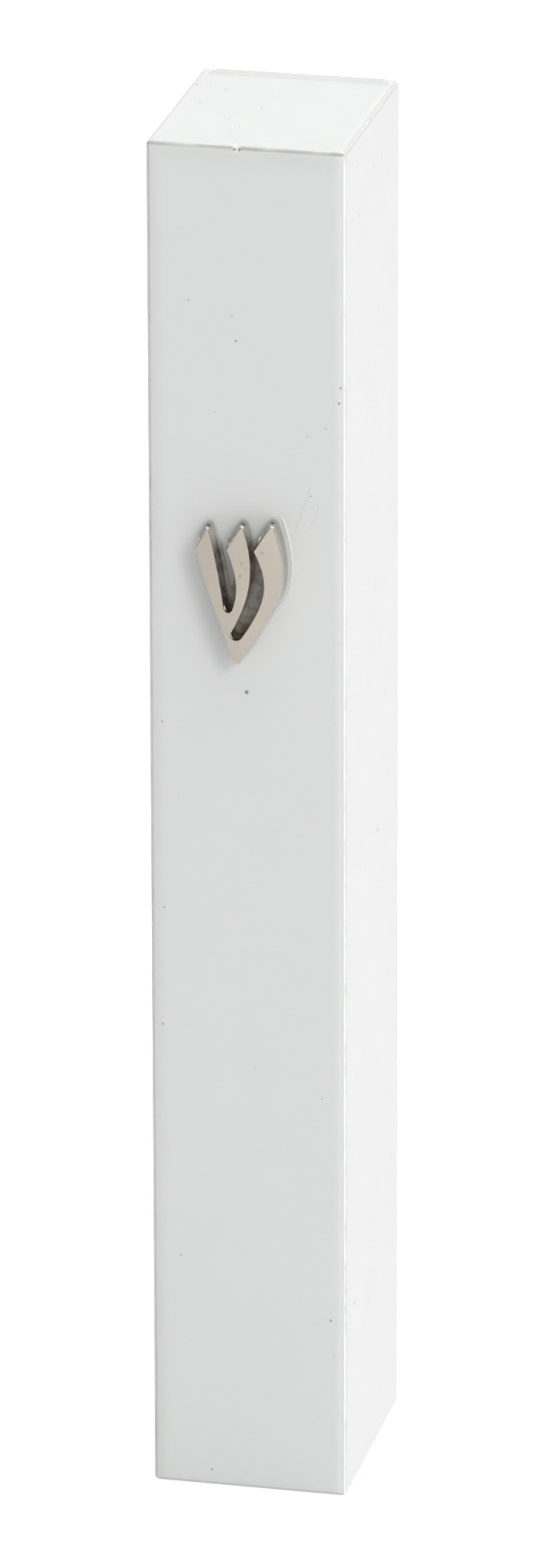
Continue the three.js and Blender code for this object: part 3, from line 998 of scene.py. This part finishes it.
def parchmentLook():
    material, tree, shader, place = startMaterial("parchment")
    cloud = ramp(tree, noiseNode(tree, place, 170, 5, 0.6), 0.3, 0.7)
    colour = mixColour(tree, cloud, scrollMake["creamColour"], scrollMake["paleColour"])
    pores = useGroup(tree, "dust", "Mask", Vector=place, Scale=1500.0, Size=0.18, Amount=0.35)
    colour = mixColour(tree, math2(tree, "MULTIPLY", pores, 0.35), colour, scrollMake["poreColour"])
    tree.links.new(colour, shader.inputs["Base Color"])
    height = useGroup(tree, "grain", "Height", Vector=place, Coarse=350.0, Fine=3200.0, Share=0.5)
    tree.links.new(ramp(tree, height, 0.3, 0.7, 0.55, 0.75), shader.inputs["Roughness"])
    bumpFrom(tree, shader, height, 0.6, 0.00012)
    return material


def filmLook():
    material, tree, shader, place = startMaterial("clearFilm")
    haze = ramp(tree, noiseNode(tree, place, 240, 4), 0.35, 0.75, 0.0, 0.12)
    rim = tree.nodes.new("ShaderNodeLayerWeight")
    rim.inputs["Blend"].default_value = 0.4
    shown = ramp(tree, rim.outputs["Facing"], 0.0, 0.9, 0.1, 0.75)
    tree.links.new(math2(tree, "ADD", shown, haze, clamp=True), shader.inputs["Alpha"])
    colour = mixColour(tree, haze, sleeveMake["filmColour"], sleeveMake["hazeColour"])
    tree.links.new(colour, shader.inputs["Base Color"])
    shader.inputs["Roughness"].default_value = 0.07
    shader.inputs["IOR"].default_value = 1.5
    height = useGroup(tree, "grain", "Height", Vector=place, Coarse=160.0, Fine=900.0, Share=0.25)
    bumpFrom(tree, shader, height, 0.35, 0.0004)
    return material


def thicken(piece, thickness):
    modifier = piece.modifiers.new("thickness", "SOLIDIFY")
    modifier.thickness = thickness * mm
    modifier.offset = 0
    modifier.use_even_offset = True


def makeScroll():
    low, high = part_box("parchment_scroll")
    sleeveLow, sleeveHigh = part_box("scroll_sleeve")
    middle = Vector((0, (sleeveLow.y + sleeveHigh.y) / 2, 0))
    look = scrollMake
    pitch = (look["outerRadius"] - look["innerRadius"] - look["thickness"]) / look["turns"]
    mesh = rolledSheet(look, middle, low.z, high.z, pitch, look["rows"], look["telescope"])
    piece = readyMesh(mesh, "parchment_roll", parchmentLook(), 50)
    thicken(piece, look["thickness"])
    handOver(piece, "case", "parchment", "parchment_scroll")
    mesh = rolledSheet(sleeveMake, middle, sleeveLow.z, sleeveHigh.z, sleeveMake["pitch"], look["rows"])
    for v in mesh.verts:  # the film isn't quite even
        out = Vector((v.co.x - middle.x, v.co.y - middle.y, 0)).normalized()
        swell = 0.5 + 0.5 * noise.noise(v.co / mm / sleeveMake["unevenLength"])
        v.co -= out * swell * sleeveMake["unevenness"] * mm
    film = readyMesh(mesh, "film_sleeve", filmLook(), 50)
    thicken(film, sleeveMake["thickness"])
    handOver(film, "case", "clear_film", "scroll_sleeve")


makeScroll()


# foam tape on the back of the cover, and its liners

tapeMake = {
    "foamRound": 0.12,
    "foamSag": 0.05,
    "foamColour": (0.8, 0.8, 0.76),
    "foamPitShade": (0.62, 0.62, 0.57),
    "linerColour": (0.72, 0.6, 0.32),
    "linerPale": (0.8, 0.7, 0.43),
    "linerFibre": (0.55, 0.43, 0.2),
    "linerRound": 0.025,
    "tabLength": 4,
    "tabRows": 8,
    "tabColumns": 6,
    "tabCurl": 1.7,
    "tabDroop": 0.55,  # the loose tab bends in towards the cover
    "tabSkew": 0.12,
}


def foamLook():
    material, tree, shader, place = startMaterial("foamTape")
    cells = tree.nodes.new("ShaderNodeTexVoronoi")
    cells.inputs["Scale"].default_value = 5200
    tree.links.new(place, cells.inputs["Vector"])
    # painted shade in the pits of the foam's cells
    hollow = ramp(tree, cells.outputs["Distance"], 0.1, 0.6)
    colour = mixColour(tree, hollow, tapeMake["foamPitShade"], tapeMake["foamColour"])
    dust = useGroup(tree, "dust", "Mask", Vector=place, Scale=700.0, Size=0.06, Amount=0.2)
    colour = mixColour(tree, math2(tree, "MULTIPLY", dust, 0.5), colour, whiteCase["speckColour"])
    tree.links.new(colour, shader.inputs["Base Color"])
    tree.links.new(ramp(tree, hollow, 0.0, 1.0, 0.95, 0.8), shader.inputs["Roughness"])
    bumpFrom(tree, shader, hollow, 0.35, 0.00005)
    return material


def linerLook():
    material, tree, shader, place = startMaterial("linerPaper")
    stretch = tree.nodes.new("ShaderNodeMapping")
    stretch.inputs["Scale"].default_value = (1, 1, 0.12)
    tree.links.new(place, stretch.inputs["Vector"])
    fibre = ramp(tree, noiseNode(tree, stretch.outputs[0], 3200, 4, 0.6), 0.45, 0.7)
    cloud = ramp(tree, noiseNode(tree, place, 180, 3), 0.3, 0.7)
    colour = mixColour(tree, cloud, tapeMake["linerColour"], tapeMake["linerPale"])
    colour = mixColour(tree, math2(tree, "MULTIPLY", fibre, 0.25), colour, tapeMake["linerFibre"])
    tree.links.new(colour, shader.inputs["Base Color"])
    height = useGroup(tree, "grain", "Height", Vector=place, Coarse=260.0, Fine=4200.0, Share=0.4)
    tree.links.new(ramp(tree, height, 0.3, 0.7, 0.26, 0.38), shader.inputs["Roughness"])
    shader.inputs["Coat Weight"].default_value = 0.35
    shader.inputs["Coat Roughness"].default_value = 0.18
    bumpFrom(tree, shader, height, 0.35, 0.00008)
    return material


def makePad(node, material):
    low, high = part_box(node)
    mesh = mergedCopy(node)
    bmesh.ops.bevel(mesh, geom=sharpEdges(mesh, 60), offset=tapeMake["foamRound"] * mm, offset_type="OFFSET",
                    segments=2, profile=0.5, affect="EDGES", material=-1, clamp_overlap=True)
    sliceAcross(mesh, 2, [low.z + k * mm for k in range(1, int((high.z - low.z) / mm))])
    for v in mesh.verts:  # cut edges wave a little
        if low.y + 1e-5 < v.co.y < high.y - 1e-5:
            side = math.copysign(1, v.co.x)
            v.co.x -= side * (0.5 + 0.5 * noise.noise(v.co / mm / 1.7)) * tapeMake["foamSag"] * mm
    piece = readyMesh(mesh, node + "_foam", material, 50)
    weightNormals(piece)
    handOver(piece, "cover", "foam_tape", node)


def makeLiner(node, material):
    low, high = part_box(node)
    mesh = mergedCopy(node)
    bmesh.ops.bevel(mesh, geom=sharpEdges(mesh, 60), offset=tapeMake["linerRound"] * mm, offset_type="OFFSET",
                    segments=2, profile=0.5, affect="EDGES", material=-1, clamp_overlap=True)
    rows, columns = tapeMake["tabRows"], tapeMake["tabColumns"]
    sliceAcross(mesh, 2, [high.z - tapeMake["tabLength"] * mm * k / rows for k in range(1, rows + 1)])
    sliceAcross(mesh, 0, [low.x + (high.x - low.x) * k / columns for k in range(1, columns)])
    fold = high.z - tapeMake["tabLength"] * mm
    for v in mesh.verts:
        share = max(0, (v.co.z - fold) / (high.z - fold))
        lean = 1 + tapeMake["tabSkew"] * v.co.x / high.x
        v.co.y -= share ** tapeMake["tabCurl"] * lean * tapeMake["tabDroop"] * mm
    piece = readyMesh(mesh, node + "_paper", material, 40)
    weightNormals(piece)
    handOver(piece, "cover", "liner_paper", node)


foam, paper = foamLook(), linerLook()
for level in ("upper_tape", "lower_tape"):
    makePad(level + "_pad", foam)
    makeLiner(level + "_liner", paper)
